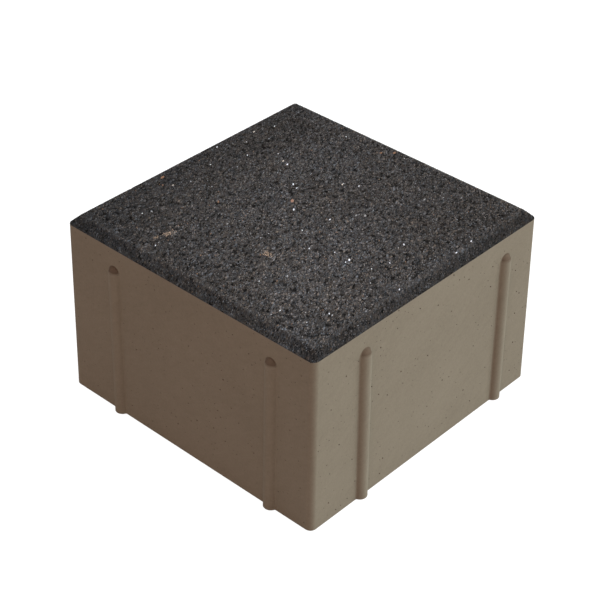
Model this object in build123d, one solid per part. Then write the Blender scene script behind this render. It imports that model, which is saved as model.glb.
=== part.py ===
from build123d import *
import os

# Concrete paving block, square in plan, pressed in one mould from two concretes.
# It stands on Z = 0 with its middle on the Z axis, wearing face up. All sizes are in mm.

# Plan of the block just below the chamfer, measured from wall to wall without the ribs
plan_x = 95.3
plan_y = 95.3
corner_radius = 2.0

# Heights: the walls run from the underside up to the arris, the facing stands on that
wall_height = 57.4
facing_height = 2.6

# The chamfer runs inward by this much over the height of the facing
chamfer_run = 2.6
top_corner_radius = 0.3

# The walls lean outward by this much between the arris and the underside
wall_draft = 0.73

# Spacer ribs: part of a round bar that stands out of the wall, with a ball end at the top.
# The root is blended into the wall, so that the block slides out of its mould.
rib_radius = 2.25
rib_projection = 1.62
rib_root_blend = 0.6
rib_end_drop = 8.0

# Each wall has two ribs. They sit off centre, to the right as seen from outside,
# so the ribs of two blocks laid side by side pass each other.
rib_pitch = 60.8
rib_shift_y_walls = 2.3
rib_shift_x_walls = 3.0


def facing_layer():
    # A flat slab whose four sides are the 45 degree chamfer
    lower = Pos(0, 0, wall_height) * RectangleRounded(plan_x, plan_y, corner_radius)
    top_z = wall_height + facing_height
    top_x = plan_x - 2 * chamfer_run
    top_y = plan_y - 2 * chamfer_run
    upper = Pos(0, 0, top_z) * RectangleRounded(top_x, top_y, top_corner_radius)
    return loft([lower, upper], ruled=True)


def plain_block():
    # The backing concrete without ribs: a little wider at the underside than at the arris
    foot_x = plan_x + 2 * wall_draft
    foot_y = plan_y + 2 * wall_draft
    foot = RectangleRounded(foot_x, foot_y, corner_radius)
    arris = Pos(0, 0, wall_height) * RectangleRounded(plan_x, plan_y, corner_radius)
    return loft([foot, arris], ruled=True)


def rib_section():
    # Section across one rib: the wall is the line X = 0 and the rib stands out along +X.
    # The strip behind the wall only anchors the rib in the block.
    anchor_depth = rib_radius
    anchor_width = 4 * rib_radius
    anchor = Pos(-anchor_depth / 2, 0) * Rectangle(anchor_depth, anchor_width)
    bar = Pos(rib_projection - rib_radius, 0) * Circle(rib_radius)
    section = anchor + bar
    roots = [v for v in section.vertices() if abs(v.X) < 0.001 and abs(v.Y) < 1.5 * rib_radius]
    return fillet(roots, rib_root_blend)


def rib(half_plan):
    # One rib for the wall that faces +X, at the middle of that wall.
    # It leans with the wall, so it stands out equally at every height.
    lean = wall_draft / wall_height
    end_z = wall_height - rib_end_drop
    on_wall = Vector(half_plan + lean * rib_end_drop, 0, end_z)
    outward = Vector(1, 0, lean)
    across = Plane(origin=on_wall, x_dir=outward, z_dir=(-lean, 0, 1))
    section = across * rib_section()
    shaft = extrude(section, amount=-(end_z + 2 * rib_radius))
    right_half = across * (rib_section() & (Pos(0, half_plan / 2) * Rectangle(half_plan, half_plan)))
    end = revolve(right_half, axis=Axis(on_wall, outward))
    above_ground = Pos(0, 0, wall_height) * Box(4 * half_plan, 4 * half_plan, 2 * wall_height)
    return (shaft + end) & above_ground


def wall_ribs():
    # The two ribs of each wall, turned about the Z axis from wall to wall
    ribs = []
    for turn in (0, 90, 180, 270):
        on_x_wall = turn in (0, 180)
        half_plan = plan_x / 2 if on_x_wall else plan_y / 2
        shift = rib_shift_x_walls if on_x_wall else rib_shift_y_walls
        for side in (-1, 1):
            along = shift + side * rib_pitch / 2
            ribs.append(Rot(0, 0, turn) * Pos(0, along, 0) * rib(half_plan))
    return ribs


def body_block():
    # The ribs are one with the block: they were pressed with it
    block = plain_block()
    for one_rib in wall_ribs():
        block = block + one_rib
    return block


os.makedirs("parts", exist_ok=True)
facing = facing_layer()
body = body_block()
export_step(facing, "parts/facing_layer.step")
export_step(body, "parts/body_block.step")
print("facing", facing.volume, facing.bounding_box())
print("body", body.volume, body.bounding_box(), len(body.solids()))
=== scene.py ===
# %% [markdown]
# # A concrete paving block
# The block is pressed from two concretes in one mould: a grey-brown backing with smooth walls and
# small spacer ribs, and on top of it a thin facing of black stone grains, blasted until the grains
# stand free. The CAD model gives every size. This lesson adds what the eye needs on top of that:
# the grainy relief of the facing, loose-looking grains of stone, and the small air holes that
# pressed concrete has in its walls.

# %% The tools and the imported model
import math
import random

import bmesh
import bpy
from mathutils import Matrix, Vector


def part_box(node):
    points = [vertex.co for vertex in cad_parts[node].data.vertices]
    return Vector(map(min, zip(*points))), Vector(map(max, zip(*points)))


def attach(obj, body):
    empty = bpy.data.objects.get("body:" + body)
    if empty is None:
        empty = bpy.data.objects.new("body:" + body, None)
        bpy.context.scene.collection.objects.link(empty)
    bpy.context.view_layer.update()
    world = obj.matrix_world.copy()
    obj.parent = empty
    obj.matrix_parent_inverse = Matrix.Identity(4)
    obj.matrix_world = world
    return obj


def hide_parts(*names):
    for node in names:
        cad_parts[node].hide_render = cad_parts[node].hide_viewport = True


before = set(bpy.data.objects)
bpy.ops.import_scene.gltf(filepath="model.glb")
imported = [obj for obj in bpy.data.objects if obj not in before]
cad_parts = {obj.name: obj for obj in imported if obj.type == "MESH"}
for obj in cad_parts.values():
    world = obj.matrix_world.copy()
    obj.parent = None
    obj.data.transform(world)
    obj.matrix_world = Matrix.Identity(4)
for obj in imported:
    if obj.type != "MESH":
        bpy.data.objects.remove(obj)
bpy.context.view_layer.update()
MM = 0.001
facing_low, facing_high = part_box("facing_layer")
backing_low, backing_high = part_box("body_block")
arris_height = facing_low.z
top_height = facing_high.z
chamfer = top_height - arris_height
half_plan = facing_high.x
for label, low, high in (("facing", facing_low, facing_high), ("backing", backing_low, backing_high)):
    print(label, [round(v / MM, 2) for v in low], [round(v / MM, 2) for v in high])

# %% [markdown]
# ## Small helpers for node trees
# Geometry and shader trees are both made of nodes and links, and a script that spells out every
# link is hard to read. One helper adds a node with its settings and wires its inputs in the same
# line. Short forms of it make sums, graded values, noise and mixed colours. The last helpers start
# and end a geometry tree, run it on an object and keep the result as a plain mesh.

# %% A helper that adds one wired node
def live_socket(sockets, name):
    if isinstance(name, int):
        return sockets[name]
    return next(socket for socket in sockets if socket.enabled and socket.name == name)


def add(tree, kind, wires=None, **settings):
    node = tree.nodes.new(kind)
    for name, value in settings.items():
        setattr(node, name, value)
    for name, value in (wires or {}).items():
        socket = live_socket(node.inputs, name)
        if isinstance(value, bpy.types.NodeSocket):
            tree.links.new(value, socket)
        else:
            socket.default_value = value
    return node


# %% Helpers for sums, graded values, random numbers and noise
def math_node(tree, operation, *numbers, clamp=False):
    wires = dict(enumerate(numbers))
    return add(tree, "ShaderNodeMath", wires, operation=operation, use_clamp=clamp).outputs[0]


def graded(tree, value, start, end, first=0.0, last=1.0):
    wires = {"Value": value, "From Min": start, "From Max": end, "To Min": first, "To Max": last}
    return add(tree, "ShaderNodeMapRange", wires).outputs[0]


def random_number(tree, low, high, seed, kind="FLOAT"):
    wires = {"Min": low, "Max": high, "Seed": seed}
    node = add(tree, "FunctionNodeRandomValue", wires, data_type=kind)
    return live_socket(node.outputs, "Value")


def noise(tree, place, scale, detail):
    wires = {"Vector": place, "Scale": scale, "Detail": detail}
    return add(tree, "ShaderNodeTexNoise", wires).outputs["Fac"]


# %% Helpers for colours and finishes
def mix_colours(tree, share, first, second, way="MIX"):
    wires = {"Factor": share, "A": first, "B": second}
    node = add(tree, "ShaderNodeMix", wires, data_type="RGBA", blend_type=way)
    return live_socket(node.outputs, "Result")


def tinted(tree, colour, tint):
    return mix_colours(tree, 1.0, colour, tint, "MULTIPLY")


def colour_ramp(tree, value, stops):
    ramp = add(tree, "ShaderNodeValToRGB", {"Fac": value})
    elements = ramp.color_ramp.elements
    first, *between, last = stops
    for element, (position, colour) in ((elements[0], first), (elements[1], last)):
        element.position = position
        element.color = (*colour, 1)
    for position, colour in between:
        element = elements.new(position)
        element.color = (*colour, 1)
    return ramp.outputs["Color"]


def new_finish(name, roughness, shine):
    material = bpy.data.materials.new(name)
    material.use_nodes = True
    tree = material.node_tree
    shader = tree.nodes["Principled BSDF"]
    shader.inputs["Roughness"].default_value = roughness
    shader.inputs["Specular IOR Level"].default_value = shine
    print("finish", name, "with roughness", roughness)
    return material, tree, shader


# %% Helpers that start, end and run a geometry tree
def geometry_tree(name, sizes):
    tree = bpy.data.node_groups.new(name, "GeometryNodeTree")
    tree.interface.new_socket("Geometry", in_out="INPUT", socket_type="NodeSocketGeometry")
    tree.interface.new_socket("Geometry", in_out="OUTPUT", socket_type="NodeSocketGeometry")
    for label, value in sizes.items():
        kind = "NodeSocketInt" if isinstance(value, int) else "NodeSocketFloat"
        socket = tree.interface.new_socket(label, in_out="INPUT", socket_type=kind)
        socket.default_value = value
    return tree, tree.nodes.new("NodeGroupInput"), tree.nodes.new("NodeGroupOutput")


def end_tree(tree, geometry, material, result):
    wires = {"Geometry": geometry, "Material": material}
    finish = add(tree, "GeometryNodeSetMaterial", wires)
    tree.links.new(finish.outputs["Geometry"], result.inputs["Geometry"])


def run_tree(piece, tree, sizes):
    modifier = piece.modifiers.new(tree.name, "NODES")
    modifier.node_group = tree
    for socket in tree.interface.items_tree:
        if socket.in_out == "INPUT" and socket.name in sizes:
            modifier[socket.identifier] = sizes[socket.name]
    graph = bpy.context.evaluated_depsgraph_get()
    mesh = bpy.data.meshes.new_from_object(piece.evaluated_get(graph), depsgraph=graph)
    piece.modifiers.remove(modifier)
    piece.data = mesh
    print(tree.name, "gives", len(mesh.polygons), "faces")
    return piece


# %% Helpers for objects
def add_object(name, mesh):
    piece = bpy.data.objects.new(name, mesh)
    bpy.context.scene.collection.objects.link(piece)
    return piece


def smooth(mesh, sharpest):
    mesh.polygons.foreach_set("use_smooth", [True] * len(mesh.polygons))
    mesh.set_sharp_from_angle(angle=math.radians(sharpest))


# %% [markdown]
# ## The backing concrete's finish
# The walls were pressed against smooth steel. They are dull and nearly even in colour, with a
# faint cloudiness, a very fine sandy tooth and soft slanting marks that the mould left. A picture
# of such a wall would need no work, but noise in the block's own coordinates stays sharp at any
# size and fits every side. The ball ends of the ribs face up, and painted shade darkens the finish
# where the surface looks up, a little less on one wall, as the photo shows. This painted shade
# depends only on the surface's own place and direction, never on where the camera stands.

# %% Faint slanting marks
def release_marks(tree, place):
    slope = math.radians(33)
    marks_across = 560.0
    marks_along = 210.0
    spot = add(tree, "ShaderNodeSeparateXYZ", {"Vector": place})
    level = math_node(tree, "ADD", spot.outputs["X"], spot.outputs["Y"])
    along = math_node(tree, "MULTIPLY", level, math.cos(slope))
    along = math_node(tree, "MULTIPLY_ADD", spot.outputs["Z"], math.sin(slope), along)
    across = math_node(tree, "MULTIPLY", level, math.sin(slope))
    across = math_node(tree, "MULTIPLY_ADD", spot.outputs["Z"], -math.cos(slope), across)
    wires = {"X": math_node(tree, "MULTIPLY", across, marks_across),
             "Y": math_node(tree, "MULTIPLY", along, marks_along)}
    stretched = add(tree, "ShaderNodeCombineXYZ", wires).outputs[0]
    return noise(tree, stretched, scale=1.0, detail=2.0)


# %% Painted shade where the surface looks up
def painted_upward_shade(tree, place):
    upward_shade_starts = 0.03
    upward_shade_is_full = 0.45
    weakest_shade_share = 0.84
    surface = add(tree, "ShaderNodeNewGeometry")
    upward = add(tree, "ShaderNodeSeparateXYZ", {"Vector": surface.outputs["Normal"]}).outputs["Z"]
    upward_shade = graded(tree, upward, upward_shade_starts, upward_shade_is_full)
    side = add(tree, "ShaderNodeSeparateXYZ", {"Vector": place}).outputs["X"]
    # Less painted shade towards the +X wall
    less_shade_on_plus_x = graded(tree, side, 0.6 * half_plan, half_plan, first=1.0, last=weakest_shade_share)
    return math_node(tree, "MULTIPLY", upward_shade, less_shade_on_plus_x)


# %% Backing concrete
def backing_concrete():
    cloud_share = 0.34
    sand_share = 0.40
    mark_share = 0.26
    grey_brown = (0.228, 0.196, 0.149)
    pale_brown = (0.282, 0.246, 0.190)
    painted_shade_brown = (0.064, 0.040, 0.026, 1)
    material, tree, shader = new_finish("moulded_backing", roughness=0.92, shine=0.25)
    place = add(tree, "ShaderNodeTexCoord").outputs["Object"]
    clouds = noise(tree, place, scale=45.0, detail=3.0)
    sand = noise(tree, place, scale=1600.0, detail=2.0)
    tone = math_node(tree, "MULTIPLY", clouds, cloud_share)
    tone = math_node(tree, "MULTIPLY_ADD", sand, sand_share, tone)
    tone = math_node(tree, "MULTIPLY_ADD", release_marks(tree, place), mark_share, tone)
    body = colour_ramp(tree, tone, ((0.30, grey_brown), (0.70, pale_brown)))
    # Painted shade: dark brown where the surface looks up, as on the ribs' ball ends
    body_with_painted_shade = mix_colours(tree, painted_upward_shade(tree, place), body, painted_shade_brown)
    tree.links.new(body_with_painted_shade, shader.inputs["Base Color"])
    wires = {"Height": sand, "Strength": 0.25, "Distance": 0.05 * MM}
    tooth = add(tree, "ShaderNodeBump", wires)
    tree.links.new(tooth.outputs["Normal"], shader.inputs["Normal"])
    return material


backing_finish = backing_concrete()

# %% [markdown]
# ## The walls with their air holes
# Where a bubble of air was trapped against the mould, the wall keeps a small round hole. They could
# be painted on, but a real hole has a shaded rim from every side, so each one is cut. A tree strews
# points over the flat walls, puts a small ball on each point and cuts all the balls away. The
# points keep a least distance, so that no two holes run into each other.

# %% A size that is small for most copies and large for a few
def mostly_small(tree, given):
    chance = random_number(tree, 0.0, 1.0, given.outputs["Seed"])
    few_large = math_node(tree, "POWER", chance, 2.0)
    smallest = given.outputs["Smallest radius"]
    span = math_node(tree, "SUBTRACT", given.outputs["Largest radius"], smallest)
    return math_node(tree, "MULTIPLY_ADD", few_large, span, smallest)


# %% Middles of the balls, a little outside the flat walls
def hole_middles(tree, given, radius):
    straight_out = 0.9999
    least_lift = 0.1
    most_lift = 0.6
    normal = add(tree, "GeometryNodeInputNormal")
    parts = add(tree, "ShaderNodeSeparateXYZ", {"Vector": normal.outputs[0]})
    along_x = math_node(tree, "ABSOLUTE", parts.outputs["X"])
    along_y = math_node(tree, "ABSOLUTE", parts.outputs["Y"])
    steepest = math_node(tree, "MAXIMUM", along_x, along_y)
    flat_wall = math_node(tree, "GREATER_THAN", steepest, straight_out)
    wires = {"Mesh": given.outputs["Geometry"], "Selection": flat_wall,
             "Distance Min": given.outputs["Least distance"],
             "Density Max": given.outputs["Holes per square metre"],
             "Seed": given.outputs["Seed"]}
    points = add(tree, "GeometryNodeDistributePointsOnFaces", wires, distribute_method="POISSON")
    next_seed = math_node(tree, "ADD", given.outputs["Seed"], 1.0)
    lift = math_node(tree, "MULTIPLY", radius, random_number(tree, least_lift, most_lift, next_seed))
    wires = {0: points.outputs["Normal"], "Scale": lift}
    shift = add(tree, "ShaderNodeVectorMath", wires, operation="SCALE").outputs[0]
    wires = {"Geometry": points.outputs["Points"], "Offset": shift}
    return add(tree, "GeometryNodeSetPosition", wires).outputs[0]


# %% A tree that cuts air holes into the flat walls
def air_hole_tree():
    sizes = {"Holes per square metre": 110000.0, "Least distance": 1.2 * MM,
             "Smallest radius": 0.14 * MM, "Largest radius": 0.33 * MM, "Seed": 7}
    tree, given, result = geometry_tree("air_holes", sizes)
    radius = mostly_small(tree, given)
    ball = add(tree, "GeometryNodeMeshIcoSphere", {"Radius": 1.0, "Subdivisions": 1})
    wires = {"Points": hole_middles(tree, given, radius), "Instance": ball.outputs["Mesh"],
             "Scale": radius}
    balls = add(tree, "GeometryNodeInstanceOnPoints", wires)
    balls = add(tree, "GeometryNodeRealizeInstances", {"Geometry": balls.outputs["Instances"]})
    wires = {"Mesh 1": given.outputs["Geometry"], "Mesh 2": balls.outputs["Geometry"]}
    cut = add(tree, "GeometryNodeMeshBoolean", wires, operation="DIFFERENCE", solver="EXACT")
    end_tree(tree, cut.outputs["Mesh"], backing_finish, result)
    return tree


# %% Cut the holes into a copy of the backing block
def merged_copy(name, node):
    weld_distance = 0.002 * MM
    flat = math.radians(0.3)
    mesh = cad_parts[node].data.copy()
    work = bmesh.new()
    work.from_mesh(mesh)
    bmesh.ops.remove_doubles(work, verts=work.verts, dist=weld_distance)
    bmesh.ops.dissolve_limit(work, angle_limit=flat, verts=work.verts, edges=work.edges)
    work.to_mesh(mesh)
    work.free()
    mesh.materials.clear()
    return add_object(name, mesh)


def backing_walls():
    walls = merged_copy("backing_walls", "body_block")
    walls = run_tree(walls, air_hole_tree(), {"Seed": 7})
    smooth(walls.data, sharpest=32)
    even = walls.modifiers.new("even_normals", "WEIGHTED_NORMAL")
    even.keep_sharp = True
    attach(walls, "root")
    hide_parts("body_block")


backing_walls()

# %% [markdown]
# ## The facing's finish
# The facing is black basalt sand in dark cement. This material is the cement bed that shows between
# the grains of sand. Two cell patterns of different size give every speck of it its own tone and
# tint, and the black specks keep together in small patches. All of this is drawn out a little in one
# direction, 25 degrees off one side of the block, as spreading and brushing the facing leaves it.
# Wide soft patterns let warm and cool areas drift across the block and darken it towards its edges,
# as the photo shows. The chamfer has a darker skin than the face, with painted shade on one side.
# Painted shade from the depth that the relief tree leaves in the mesh makes the hollows nearly black.

# %% Patterns drawn out in one direction
brush_heading = math.radians(115)


def brushed(tree, place, along=1.40, across=0.66):
    wires = {"Vector": place, "Angle": -brush_heading}
    turned = add(tree, "ShaderNodeVectorRotate", wires, rotation_type="Z_AXIS").outputs[0]
    wires = {0: turned, 1: (1 / along, 1 / across, 1.0)}
    return add(tree, "ShaderNodeVectorMath", wires, operation="MULTIPLY").outputs[0]


# %% Tones and tints shared by the bed and its grains
def stone_tones(tree, chance):
    stops = ((0.0, (0.002, 0.002, 0.002)), (0.17, (0.002, 0.002, 0.002)),
             (0.21, (0.033, 0.0337, 0.0344)), (0.50, (0.061, 0.0626, 0.0644)),
             (0.87, (0.102, 0.105, 0.1085)), (0.975, (0.178, 0.1828, 0.1883)),
             (1.0, (0.310, 0.316, 0.323)))
    return colour_ramp(tree, chance, stops)


def tints(tree, chance):
    warm = (1.17, 0.98, 0.84)
    cool = (0.89, 0.99, 1.14)
    return colour_ramp(tree, chance, ((0.10, warm), (0.90, cool)))


# %% Black specks keep together
def huddled(tree, place, chance):
    blacker = -0.16
    paler = 0.13
    patches = noise(tree, brushed(tree, place), scale=480.0, detail=2.0)
    shift = graded(tree, patches, 0.35, 0.65, first=blacker, last=paler)
    room = math_node(tree, "SUBTRACT", 1.0, chance)
    return math_node(tree, "MULTIPLY_ADD", shift, room, chance)


# %% Darker edges and one paler patch
def broad_tone(tree, place):
    back_tone = 0.665
    front_tone = 0.84
    corner_tone = 0.85
    spot = add(tree, "ShaderNodeSeparateXYZ", {"Vector": place})
    frontward = math_node(tree, "SUBTRACT", spot.outputs["X"], spot.outputs["Y"])
    tone = graded(tree, frontward, -1.6 * half_plan, 1.2 * half_plan, back_tone, front_tone)
    sideways = math_node(tree, "ADD", spot.outputs["X"], spot.outputs["Y"])
    sideways = math_node(tree, "ABSOLUTE", sideways)
    corners = graded(tree, sideways, 0.35 * half_plan, 1.35 * half_plan, 1.0, corner_tone)
    tone = math_node(tree, "MULTIPLY", tone, corners)
    for axis, inner, darkest in (("X", -0.42, 0.62), ("Y", -0.55, 0.82)):
        edge_band = graded(tree, spot.outputs[axis], -half_plan, inner * half_plan, darkest, 1.0)
        tone = math_node(tree, "MULTIPLY", tone, edge_band)
    return tone


def pale_patch(tree, place):
    middle = (0.45 * half_plan, -0.50 * half_plan, top_height)
    inner_reach = 0.15 * half_plan
    outer_reach = 0.5 * half_plan
    palest = 1.12
    wires = {0: place, 1: middle}
    away = add(tree, "ShaderNodeVectorMath", wires, operation="DISTANCE").outputs["Value"]
    return graded(tree, away, inner_reach, outer_reach, first=palest, last=1.0)


# %% Slow changes of tone and tint over the face
def wear(tree, place):
    warm_area = (0.98, 0.95, 0.92)
    cool_area = (1.03, 1.04, 1.06)
    tone = math_node(tree, "MULTIPLY", broad_tone(tree, place), pale_patch(tree, place))
    clumps = noise(tree, place, scale=260.0, detail=3.0)
    clumps = graded(tree, clumps, 0.3, 0.7, first=0.85, last=1.15)
    tone = math_node(tree, "MULTIPLY", tone, clumps)
    drift = noise(tree, place, scale=38.0, detail=2.0)
    tint = colour_ramp(tree, drift, ((0.35, warm_area), (0.65, cool_area)))
    return tinted(tree, tint, tone)


# %% How far a place lies inside the nearest side
def from_side(tree, place):
    spot = add(tree, "ShaderNodeSeparateXYZ", {"Vector": place})
    x = math_node(tree, "ABSOLUTE", spot.outputs["X"])
    y = math_node(tree, "ABSOLUTE", spot.outputs["Y"])
    return math_node(tree, "SUBTRACT", half_plan, math_node(tree, "MAXIMUM", x, y))


# %% The darker skin of the chamfer, with painted shade on the +X side
def chamfer_skin_and_shade(tree, place):
    left_skin = (0.725, 0.765, 0.79, 1)
    right_skin_painted_shade = (0.445, 0.43, 0.425, 1)
    no_skin = (1, 1, 1, 1)
    skin_fades = chamfer - 0.7 * MM
    skin_ends = chamfer + 0.5 * MM
    right_starts = half_plan - 2.5 * chamfer
    right_is_full = half_plan - chamfer
    on_top = graded(tree, from_side(tree, place), skin_fades, skin_ends)
    side = add(tree, "ShaderNodeSeparateXYZ", {"Vector": place}).outputs["X"]
    # Painted shade: the chamfer skin is much darker on the +X side
    painted_shade_on_right = graded(tree, side, right_starts, right_is_full)
    skin = mix_colours(tree, painted_shade_on_right, left_skin, right_skin_painted_shade)
    return mix_colours(tree, on_top, skin, no_skin)


# %% Cement bed of the facing
def facing_concrete():
    deepest_painted_shade = 0.10
    material, tree, shader = new_finish("blasted_facing", roughness=0.75, shine=0.04)
    place = add(tree, "ShaderNodeTexCoord").outputs["Object"]
    drawn = brushed(tree, place)
    specks = add(tree, "ShaderNodeTexVoronoi", {"Vector": drawn, "Scale": 2600.0})
    lumps = add(tree, "ShaderNodeTexVoronoi", {"Vector": drawn, "Scale": 1100.0})
    speck = add(tree, "ShaderNodeSeparateColor", {"Color": specks.outputs["Color"]})
    lump = add(tree, "ShaderNodeSeparateColor", {"Color": lumps.outputs["Color"]})
    blends = []
    for channel, speck_share in (("Red", 0.75), ("Green", 0.55)):
        part = math_node(tree, "MULTIPLY", speck.outputs[channel], speck_share)
        blends.append(math_node(tree, "MULTIPLY_ADD", lump.outputs[channel], 1 - speck_share, part))
    chance, hue = blends
    stone = tinted(tree, stone_tones(tree, huddled(tree, place, chance)), tints(tree, hue))
    stone = tinted(tree, stone, wear(tree, place))
    # Painted shade: the colour darkens with the depth of the relief, to a tenth in the deepest hollows
    depth = add(tree, "ShaderNodeAttribute", attribute_name="hollow").outputs["Fac"]
    stone = tinted(tree, stone, graded(tree, depth, 0.0, 1.0, first=1.0, last=deepest_painted_shade))
    stone = tinted(tree, stone, chamfer_skin_and_shade(tree, place))
    tree.links.new(stone, shader.inputs["Base Color"])
    wires = {"Height": specks.outputs["Distance"], "Strength": 0.8, "Distance": 0.15 * MM}
    raised = add(tree, "ShaderNodeBump", wires, invert=True)
    tree.links.new(raised.outputs["Normal"], shader.inputs["Normal"])
    return material


facing_finish = facing_concrete()

# %% [markdown]
# ## The facing slab
# The slab needs a mesh fine enough to carry relief: a cell about every 0.4 mm. A grid covers the
# flat top, and rings of the same point count run down the chamfer to the arris, each a rounded
# square a little larger than the one above. So the chamfer's upper edge and the arris stay on mesh
# lines, and the rounded corners match the wall below.

# %% One point on a rounded square
def on_rounded_square(x, y, half, radius):
    inner = half - radius
    if abs(x) <= inner or abs(y) <= inner:
        return x, y
    centre = Vector((math.copysign(inner, x), math.copysign(inner, y)))
    spoke = (Vector((x, y)) - centre).normalized() * radius
    return centre.x + spoke.x, centre.y + spoke.y


def grid_point(x, y, half_top, top_radius):
    half = max(abs(x), abs(y))
    radius = max(0.0, half - (half_top - top_radius))
    return (*on_rounded_square(x, y, half, radius), top_height)


# %% The grid and its rings
def slab_mesh(cells=220, rings=8, corner_radius=2.0 * MM, top_radius=1.0 * MM):
    work = bmesh.new()
    half_top = half_plan - chamfer
    step = 2 * half_top / cells
    places = [-half_top + i * step for i in range(cells + 1)]
    unit = [place / half_top for place in places]
    grid = [[work.verts.new(grid_point(x, y, half_top, top_radius)) for x in places] for y in places]
    for j in range(cells):
        for i in range(cells):
            work.faces.new((grid[j][i], grid[j][i + 1], grid[j + 1][i + 1], grid[j + 1][i]))
    onward = range(cells)
    back = range(cells, 0, -1)
    round_trip = [(i, 0) for i in onward] + [(cells, j) for j in onward]
    round_trip += [(i, cells) for i in back] + [(0, j) for j in back]
    count = len(round_trip)
    above = [grid[j][i] for i, j in round_trip]
    for ring in range(1, rings + 1):
        share = ring / rings
        half = half_top + share * chamfer
        radius = top_radius + share * (corner_radius - top_radius)
        height = top_height - share * chamfer
        corners = [on_rounded_square(unit[i] * half, unit[j] * half, half, radius) for i, j in round_trip]
        below = [work.verts.new((x, y, height)) for x, y in corners]
        for k in range(count):
            work.faces.new((above[k], below[k], below[(k + 1) % count], above[(k + 1) % count]))
        above = below
    work.faces.new(list(reversed(above)))
    bmesh.ops.recalc_face_normals(work, faces=work.faces)
    mesh = bpy.data.meshes.new("facing_grains_bed")
    work.to_mesh(mesh)
    work.free()
    print("slab of", len(mesh.polygons), "faces, a cell every", round(step / MM, 2), "mm")
    return mesh


# %% [markdown]
# ## Relief by a geometry tree
# Blasting wears the cement away between the grains. The tree only ever lowers the surface, so the
# highest grains stay on the CAD's top plane. Three patterns are added up: rounded lumps the size
# of a grain, finer roughness, and sparse deep pits where a grain fell out. The relief is weak on
# the chamfer and beside it, where the mould kept the edge straight, and fades to nothing at the
# arris, where the facing meets the wall. The depth is stored in the mesh for the finish to read.

# %% How deep the surface is worn at a place
def seeded_noise(tree, place, scale, detail, seed):
    wires = {"Vector": place, "W": seed, "Scale": scale, "Detail": detail}
    return add(tree, "ShaderNodeTexNoise", wires, noise_dimensions="4D").outputs["Fac"]


def worn_depth(tree, given, place):
    lump_gain = 1.1
    drawn = brushed(tree, place)
    seed = given.outputs["Seed"]
    cells = add(tree, "ShaderNodeTexVoronoi", {"Vector": drawn, "Scale": 1000.0})
    lumps = math_node(tree, "MULTIPLY", cells.outputs["Distance"], lump_gain, clamp=True)
    rough = seeded_noise(tree, drawn, scale=900.0, detail=3.0, seed=seed)
    rough = graded(tree, rough, 0.3, 0.7)
    pits = seeded_noise(tree, drawn, scale=700.0, detail=2.0, seed=seed)
    pits = graded(tree, pits, 0.54, 0.60)
    depth = math_node(tree, "MULTIPLY", lumps, given.outputs["Lump depth"])
    for pattern, label in ((rough, "Roughness depth"), (pits, "Pit depth")):
        part = math_node(tree, "MULTIPLY", pattern, given.outputs[label])
        depth = math_node(tree, "ADD", depth, part)
    return depth


# %% Weaker relief at the edges
def eased_at_edges(tree, given, place, depth):
    beside = chamfer + 1.8 * MM
    fade_height = 0.7 * MM
    height = add(tree, "ShaderNodeSeparateXYZ", {"Vector": place}).outputs["Z"]
    share = graded(tree, from_side(tree, place), chamfer, beside, given.outputs["Chamfer share"], 1.0)
    climb = math_node(tree, "SUBTRACT", height, given.outputs["Arris"])
    fade = math_node(tree, "DIVIDE", climb, fade_height, clamp=True)
    return math_node(tree, "MULTIPLY", math_node(tree, "MULTIPLY", depth, share), fade)


# %% The relief tree
def relief_tree():
    sizes = {"Lump depth": 0.08 * MM, "Roughness depth": 0.16 * MM, "Pit depth": 0.22 * MM,
             "Chamfer share": 0.35, "Arris": 0.0, "Seed": 3}
    fully_shaded_depth = 0.34 * MM
    tree, given, result = geometry_tree("grain_relief", sizes)
    place = add(tree, "GeometryNodeInputPosition").outputs[0]
    depth = eased_at_edges(tree, given, place, worn_depth(tree, given, place))
    normal = add(tree, "GeometryNodeInputNormal").outputs[0]
    wires = {0: normal, "Scale": math_node(tree, "MULTIPLY", depth, -1.0)}
    offset = add(tree, "ShaderNodeVectorMath", wires, operation="SCALE").outputs[0]
    # The stored depth share sets the painted shade in the facing's finish
    hollow = math_node(tree, "DIVIDE", depth, fully_shaded_depth, clamp=True)
    wires = {"Geometry": given.outputs["Geometry"], "Name": "hollow", "Value": hollow}
    noted = add(tree, "GeometryNodeStoreNamedAttribute", wires, data_type="FLOAT", domain="POINT")
    moved = add(tree, "GeometryNodeSetPosition", {"Geometry": noted.outputs[0], "Offset": offset})
    end_tree(tree, moved.outputs[0], facing_finish, result)
    return tree


# %% Lower the slab's surface into relief
bed = add_object("facing_grains_bed", slab_mesh())
bed = run_tree(bed, relief_tree(), {"Arris": arris_height, "Seed": 3})
smooth(bed.data, sharpest=60)
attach(bed, "root")
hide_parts("facing_layer")

# %% [markdown]
# ## Grains of stone
# On the worn cement stand the grains themselves: tens of thousands of angular chips, mostly under a
# millimetre long. Most are as dark as basalt, a few are clear quartz whose near-white colour is a
# painted glint and a few are tan. Every copy of one small chip gets its own size, stretch, turn and
# tone, and its long side lies roughly in the direction of the other patterns. The chips are sunk
# about halfway and cut off at the mould's planes: the sides, the level top and the sloping chamfer.
# So the block's edges stay straight while its face is rough. Deep pits stay free of chips.

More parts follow.
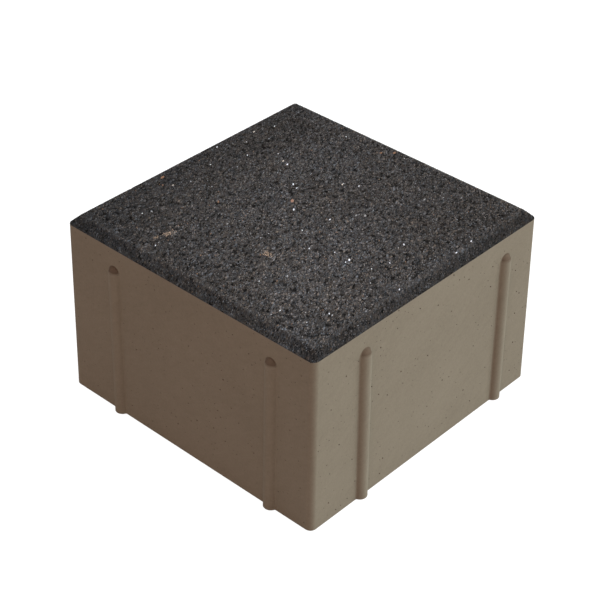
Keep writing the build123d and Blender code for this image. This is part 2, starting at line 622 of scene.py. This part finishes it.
# %% Stone grain finish
def stone_grain():
    first_tan = 0.9962
    first_quartz = 0.9978
    hues_per_tone = 37.0
    tan_brown = (0.18, 0.11, 0.07, 1)
    dull_quartz = (0.12, 0.13, 0.15, 1)
    painted_glint_quartz = (0.75, 0.81, 0.90, 1)
    material, tree, shader = new_finish("stone_grain", roughness=0.55, shine=0.08)
    chance = add(tree, "ShaderNodeAttribute", attribute_name="grain_chance").outputs["Fac"]
    hue = math_node(tree, "FRACT", math_node(tree, "MULTIPLY", chance, hues_per_tone))
    place = add(tree, "ShaderNodeTexCoord").outputs["Object"]
    dark = tinted(tree, stone_tones(tree, huddled(tree, place, chance)), tints(tree, hue))
    dark = tinted(tree, dark, wear(tree, place))
    # Painted glints: the rarest chips get a quartz colour up to near white, only a few very bright
    painted_glint_share = math_node(tree, "POWER", graded(tree, chance, first_quartz, 1.0), 2.0)
    quartz_with_painted_glint = mix_colours(tree, painted_glint_share, dull_quartz, painted_glint_quartz)
    colour = mix_colours(tree, math_node(tree, "GREATER_THAN", chance, first_tan), dark, tan_brown)
    colour = mix_colours(tree, math_node(tree, "GREATER_THAN", chance, first_quartz), colour, quartz_with_painted_glint)
    colour = tinted(tree, colour, chamfer_skin_and_shade(tree, place))
    tree.links.new(colour, shader.inputs["Base Color"])
    return material


grain_finish = stone_grain()

# %% Points on the bed that may carry a chip
def chip_points(tree, given):
    too_deep = 0.80
    place = add(tree, "GeometryNodeInputPosition").outputs[0]
    height = add(tree, "ShaderNodeSeparateXYZ", {"Vector": place}).outputs["Z"]
    rim = math_node(tree, "ADD", given.outputs["Arris"], given.outputs["Bare rim"])
    above_rim = math_node(tree, "GREATER_THAN", height, rim)
    hollow = add(tree, "GeometryNodeInputNamedAttribute", {"Name": "hollow"}, data_type="FLOAT")
    shallow = math_node(tree, "LESS_THAN", live_socket(hollow.outputs, "Attribute"), too_deep)
    chosen = math_node(tree, "MULTIPLY", above_rim, shallow)
    wires = {"Mesh": given.outputs["Geometry"], "Selection": chosen,
             "Density": given.outputs["Grains per square metre"], "Seed": given.outputs["Seed"]}
    points = add(tree, "GeometryNodeDistributePointsOnFaces", wires, distribute_method="RANDOM")
    return points.outputs["Points"]


# %% The chip, and how large and how turned each copy is
def chip_shape(tree, facets):
    if facets == 8:
        return add(tree, "GeometryNodeMeshUVSphere", {"Radius": 1.0, "Segments": 4, "Rings": 2})
    return add(tree, "GeometryNodeMeshIcoSphere", {"Radius": 1.0, "Subdivisions": 1})


def chip_size(tree, given):
    least_stretch = (0.95, 0.43, 0.6)
    most_stretch = (1.85, 0.68, 1.0)
    seed = given.outputs["Seed"]
    stretch = random_number(tree, least_stretch, most_stretch, seed, "FLOAT_VECTOR")
    wires = {0: stretch, "Scale": mostly_small(tree, given)}
    return add(tree, "ShaderNodeVectorMath", wires, operation="SCALE").outputs[0]


def chip_turn(tree, given):
    # The greatest tilt and the greatest stray from the common direction, in radians
    tilt = 0.35
    stray = 0.45
    lowest = (0.0, -tilt, brush_heading - stray)
    highest = (math.tau, tilt, brush_heading + stray)
    turn = random_number(tree, lowest, highest, given.outputs["Seed"], "FLOAT_VECTOR")
    return add(tree, "FunctionNodeEulerToRotation", {"Euler": turn}).outputs[0]


# %% Places kept inside the mould's planes
def mould_level(tree, place, given):
    slope = math_node(tree, "ADD", given.outputs["Arris"], from_side(tree, place))
    return math_node(tree, "MINIMUM", slope, given.outputs["Top"])


def inside_mould(tree, given):
    place = add(tree, "GeometryNodeInputPosition").outputs[0]
    for way, limits in (("MAXIMUM", (-half_plan, -half_plan, 0.0)),
                        ("MINIMUM", (half_plan, half_plan, top_height))):
        place = add(tree, "ShaderNodeVectorMath", {0: place, 1: limits}, operation=way).outputs[0]
    corner = add(tree, "ShaderNodeSeparateXYZ", {"Vector": place})
    level = math_node(tree, "MINIMUM", corner.outputs["Z"], mould_level(tree, place, given))
    wires = {"X": corner.outputs["X"], "Y": corner.outputs["Y"], "Z": level}
    return add(tree, "ShaderNodeCombineXYZ", wires).outputs[0]


# %% A tree that strews chips over a bed
def grain_tree(facets):
    sizes = {"Grains per square metre": 600000.0, "Smallest radius": 0.18 * MM,
             "Largest radius": 0.45 * MM, "Bare rim": 0.3 * MM, "Extra black": 0.0,
             "Palest": 1.0, "Arris": 0.0, "Top": 0.0, "Seed": 11}
    tree, given, result = geometry_tree("stone_grains", sizes)
    wires = {"Points": chip_points(tree, given), "Instance": chip_shape(tree, facets).outputs["Mesh"],
             "Rotation": chip_turn(tree, given), "Scale": chip_size(tree, given)}
    chips = add(tree, "GeometryNodeInstanceOnPoints", wires).outputs["Instances"]
    lowest = math_node(tree, "MULTIPLY", given.outputs["Extra black"], -1.0)
    chance = random_number(tree, lowest, given.outputs["Palest"], given.outputs["Seed"])
    wires = {"Geometry": chips, "Name": "grain_chance", "Value": chance}
    chips = add(tree, "GeometryNodeStoreNamedAttribute", wires, data_type="FLOAT", domain="INSTANCE")
    chips = add(tree, "GeometryNodeRealizeInstances", {"Geometry": chips.outputs[0]})
    wires = {"Geometry": chips.outputs[0], "Position": inside_mould(tree, given)}
    chips = add(tree, "GeometryNodeSetPosition", wires)
    end_tree(tree, chips.outputs[0], grain_finish, result)
    return tree


# %% Strew coarse grains and three lots of sand
def strew(name, tree, per_square_metre, smallest, largest, extra_black, palest, seed):
    grains = add_object(name, bed.data.copy())
    sizes = {"Grains per square metre": per_square_metre, "Smallest radius": smallest,
             "Largest radius": largest, "Extra black": extra_black, "Palest": palest,
             "Arris": arris_height, "Top": top_height, "Seed": seed}
    grains = run_tree(grains, tree, sizes)
    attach(grains, "root")


strew("facing_stone_grains", grain_tree(facets=20), per_square_metre=600000.0,
      smallest=0.18 * MM, largest=0.45 * MM, extra_black=0.06, palest=0.94, seed=11)
sand_tree = grain_tree(facets=8)
for seed, lot in ((12, "a"), (13, "b"), (14, "c")):
    strew("facing_sand_grains_" + lot, sand_tree, per_square_metre=2400000.0,
          smallest=0.12 * MM, largest=0.28 * MM, extra_black=0.25, palest=1.0, seed=seed)

# %% [markdown]
# ## Stones that stand out
# Among the black grains a few stones are of another rock: clear quartz whose near-white colour is a
# painted glint, milky and smoky quartz, a rose and some ochre grains, and tan sandstone that broke up
# on the face. A random scatter would never put them where the photo has them, so each is set one by
# one. A stone is a small ball, drawn out and with its corners pushed about, sunk a little past its
# middle and cut off at the mould's top plane.

# %% Finish of the single stones
def single_stone():
    material, tree, shader = new_finish("single_stone", roughness=0.4, shine=0.3)
    own = add(tree, "ShaderNodeAttribute", attribute_name="stone_colour").outputs["Color"]
    place = add(tree, "ShaderNodeTexCoord").outputs["Object"]
    grain = noise(tree, place, scale=2500.0, detail=2.0)
    shade = graded(tree, grain, 0.3, 0.7, first=0.7, last=1.1)
    tree.links.new(tinted(tree, own, shade), shader.inputs["Base Color"])
    return material


stone_finish = single_stone()

# %% One stone, and one crumb of many bits
dice = random.Random(5)


def add_stone(work, layer, x, y, radius, colour):
    stray = 0.5
    flatness = 0.9
    sunk_share = 0.3
    turn = Matrix.Rotation(brush_heading + dice.uniform(-stray, stray), 3, "Z")
    stretch = Matrix.Diagonal((dice.uniform(1.2, 1.8), dice.uniform(0.6, 0.8), flatness))
    middle = top_height - sunk_share * radius
    for corner in bmesh.ops.create_icosphere(work, subdivisions=1, radius=1.0)["verts"]:
        uneven = dice.uniform(0.85, 1.15)
        point = turn @ stretch @ corner.co * radius * uneven
        level = min(middle + point.z, top_height)
        corner.co = (x + point.x, y + point.y, level)
        corner[layer] = (*colour, 1)


def add_crumb(work, layer, x, y, length, width, slant, count, colour):
    turn = Matrix.Rotation(math.radians(slant), 2)
    along = length / 4
    across = width / 4
    for bit in range(count):
        spot = turn @ Vector((dice.gauss(0, along), dice.gauss(0, across)))
        tone = dice.uniform(0.4, 1.5)
        own = [tone * part for part in colour]
        radius = dice.uniform(0.12, 0.26) * MM
        add_stone(work, layer, x + spot.x, y + spot.y, radius, own)


# %% Their colours and places, in millimetres from the middle of the face
# Painted glint: the clear quartz is given a near-white colour
quartz_painted_glint = (0.80, 0.86, 1.0)
milky = (0.62, 0.58, 0.54)
smoky = (0.26, 0.265, 0.28)
rose = (0.24, 0.135, 0.095)
ochre = (0.19, 0.10, 0.055)
tan = (0.26, 0.195, 0.145)

# Each stone has its x, y and radius
stones = [(25.2, -8.8, 0.37, quartz_painted_glint), (25.2, -10.3, 0.28, quartz_painted_glint), (-12.6, 9.3, 0.36, quartz_painted_glint),
          (-10.4, 8.4, 0.26, quartz_painted_glint), (-3.1, -0.7, 0.36, quartz_painted_glint), (-21.4, 16.2, 0.33, quartz_painted_glint),
          (-33.7, 11.8, 0.25, quartz_painted_glint), (37.9, -31.1, 0.28, quartz_painted_glint), (7.8, 2.6, 0.27, quartz_painted_glint),
          (31.2, 7.4, 0.27, quartz_painted_glint), (-23.7, 16.8, 0.30, milky), (-2.1, 19.1, 0.28, milky),
          (-41.9, 23.1, 0.28, milky), (-6.6, 2.4, 0.92, rose), (-2.7, 43.4, 0.60, ochre),
          (-5.6, 40.6, 0.40, ochre), (-21.7, -12.6, 0.42, ochre), (-42.9, -14.6, 0.55, ochre),
          (44.3, 14.3, 0.30, quartz_painted_glint), (43.7, 21.7, 0.28, quartz_painted_glint), (44.2, -10.0, 0.30, quartz_painted_glint),
          (13.5, -12.3, 0.23, quartz_painted_glint), (2.0, 21.8, 0.25, quartz_painted_glint), (34.2, -2.2, 0.24, quartz_painted_glint),
          (19.9, -8.8, 0.24, quartz_painted_glint), (-18.3, -40.6, 0.23, quartz_painted_glint), (-43.6, 8.8, 0.26, quartz_painted_glint),
          (13.7, 11.1, 0.44, smoky), (11.8, 9.4, 0.38, smoky), (20.5, 29.5, 0.42, smoky),
          (-37.5, -15.5, 0.30, milky), (-39.7, -17.5, 0.30, ochre)]

# Each crumb has its x, y, length, width, slant in degrees and number of bits
crumbs = [(7.0, -22.2, 2.8, 2.4, 20, 36), (-20.3, -34.0, 4.4, 1.8, 70, 34),
          (-21.3, -37.6, 1.8, 1.8, 0, 12)]


# %% Set them on the face
def set_stones():
    work = bmesh.new()
    layer = work.verts.layers.float_color.new("stone_colour")
    for x, y, radius, colour in stones:
        add_stone(work, layer, x * MM, y * MM, radius * MM, colour)
    for x, y, length, width, slant, count in crumbs:
        add_crumb(work, layer, x * MM, y * MM, length * MM, width * MM, slant, count, tan)
    mesh = bpy.data.meshes.new("facing_single_stones")
    work.to_mesh(mesh)
    work.free()
    mesh.materials.append(stone_finish)
    piece = add_object("facing_single_stones", mesh)
    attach(piece, "root")
    print("single stones:", len(mesh.polygons), "faces")


set_stones()

# %% [markdown]
# ## Floor and light
# The photo shows the block alone on white. A wide pale floor stands in for the table. To the
# camera it adds a little light of its own, so that it reads as white and still keeps the block's
# soft shadow. One lamp hangs overhead for the top. A large, low one stands beside the right wall
# and grazes the ribs. The left wall has the dim, warm light of the room and of a small front lamp.

# %% What the camera, a mirror or a glass shows
def seen_directly(tree):
    path = add(tree, "ShaderNodeLightPath")
    seen = math_node(tree, "MAXIMUM", path.outputs["Is Camera Ray"], path.outputs["Is Glossy Ray"])
    return math_node(tree, "MAXIMUM", seen, path.outputs["Is Transmission Ray"])


# %% Floor
def floor():
    reach = 6.0
    gap = 0.05 * MM
    own_light = 0.89
    mesh = bpy.data.meshes.new("floor")
    corners = [(-reach, -reach, 0), (reach, -reach, 0), (reach, reach, 0), (-reach, reach, 0)]
    mesh.from_pydata(corners, [], [(0, 1, 2, 3)])
    piece = add_object("floor", mesh)
    piece.location.z = backing_low.z - gap
    material, tree, shader = new_finish("pale_floor", roughness=0.9, shine=0.0)
    shader.inputs["Base Color"].default_value = (0.19, 0.20, 0.21, 1)
    shader.inputs["Emission Color"].default_value = (1, 1, 1, 1)
    glow = math_node(tree, "MULTIPLY", seen_directly(tree), own_light)
    tree.links.new(glow, shader.inputs["Emission Strength"])
    mesh.materials.append(material)


floor()

# %% Room light
def room_light(colour, strength):
    world = bpy.data.worlds.new("room")
    bpy.context.scene.world = world
    world.use_nodes = True
    tree = world.node_tree
    tree.nodes.clear()
    dim = add(tree, "ShaderNodeBackground", {"Color": (*colour, 1), "Strength": strength})
    white = add(tree, "ShaderNodeBackground", {"Color": (1, 1, 1, 1), "Strength": 1.0})
    wires = {"Fac": seen_directly(tree), 1: dim.outputs[0], 2: white.outputs[0]}
    mixed = add(tree, "ShaderNodeMixShader", wires)
    add(tree, "ShaderNodeOutputWorld", {"Surface": mixed.outputs[0]})
    print("room light of strength", strength)


room_light(colour=(1.0, 0.62, 0.48), strength=0.25)

# %% Lamps
def lamp(name, heading, rise, distance, size, power, colour):
    aim = Vector((0, 0, 30 * MM))
    light = bpy.data.lights.new(name, "AREA")
    light.shape = "DISK"
    light.size = size
    light.energy = power
    light.color = colour
    piece = bpy.data.objects.new(name, light)
    bpy.context.scene.collection.objects.link(piece)
    turn = math.radians(heading)
    lift = math.radians(rise)
    away = Vector((math.cos(turn) * math.cos(lift), math.sin(turn) * math.cos(lift), math.sin(lift)))
    piece.location = away * distance + aim
    piece.rotation_euler = away.to_track_quat("Z", "Y").to_euler()
    print("lamp", name, "of", power, "watts")


lamp("overhead", heading=45, rise=89.9, distance=3.0, size=1.4, power=105.0, colour=(1.0, 0.985, 0.95))
lamp("side", heading=45, rise=18, distance=6.0, size=6.0, power=403.0, colour=(0.90, 1.0, 1.0))
lamp("front_fill", heading=-60, rise=12, distance=3.0, size=1.6, power=15.0, colour=(1.0, 0.68, 0.54))

# %% [markdown]
# ## Camera
# The camera looks down on the block's front corner through a long lens, from about half a metre.
# Its place is given by the heading round the block, the rise above the floor and the distance,
# and a small slide across the view puts the block where the photo has it.

# %% Camera
def camera(heading, rise, roll, distance, slide_right, slide_up, lens):
    turn = math.radians(heading)
    lift = math.radians(rise)
    tilt = math.radians(roll)
    back = Vector((math.sin(turn) * math.cos(lift), -math.cos(turn) * math.cos(lift), math.sin(lift)))
    level = Vector((math.cos(turn), math.sin(turn), 0))
    upright = back.cross(level)
    right = level * math.cos(tilt) + upright * math.sin(tilt)
    up = upright * math.cos(tilt) - level * math.sin(tilt)
    place = back * distance + right * slide_right + up * slide_up
    turned = Matrix((right, up, back)).transposed().to_4x4()
    data = bpy.data.cameras.new("camera")
    data.lens = lens
    data.sensor_width = 36.0
    data.clip_start = 0.01
    piece = bpy.data.objects.new("camera", data)
    bpy.context.scene.collection.objects.link(piece)
    piece.matrix_world = Matrix.Translation(place) @ turned
    bpy.context.scene.camera = piece
    print("camera at", [round(v / MM, 1) for v in place], "mm")


camera(heading=42.267, rise=35.787, roll=0.826, distance=525.48 * MM,
       slide_right=-0.268 * MM, slide_up=23.71 * MM, lens=103.10)
bpy.context.scene.view_settings.view_transform = "Standard"
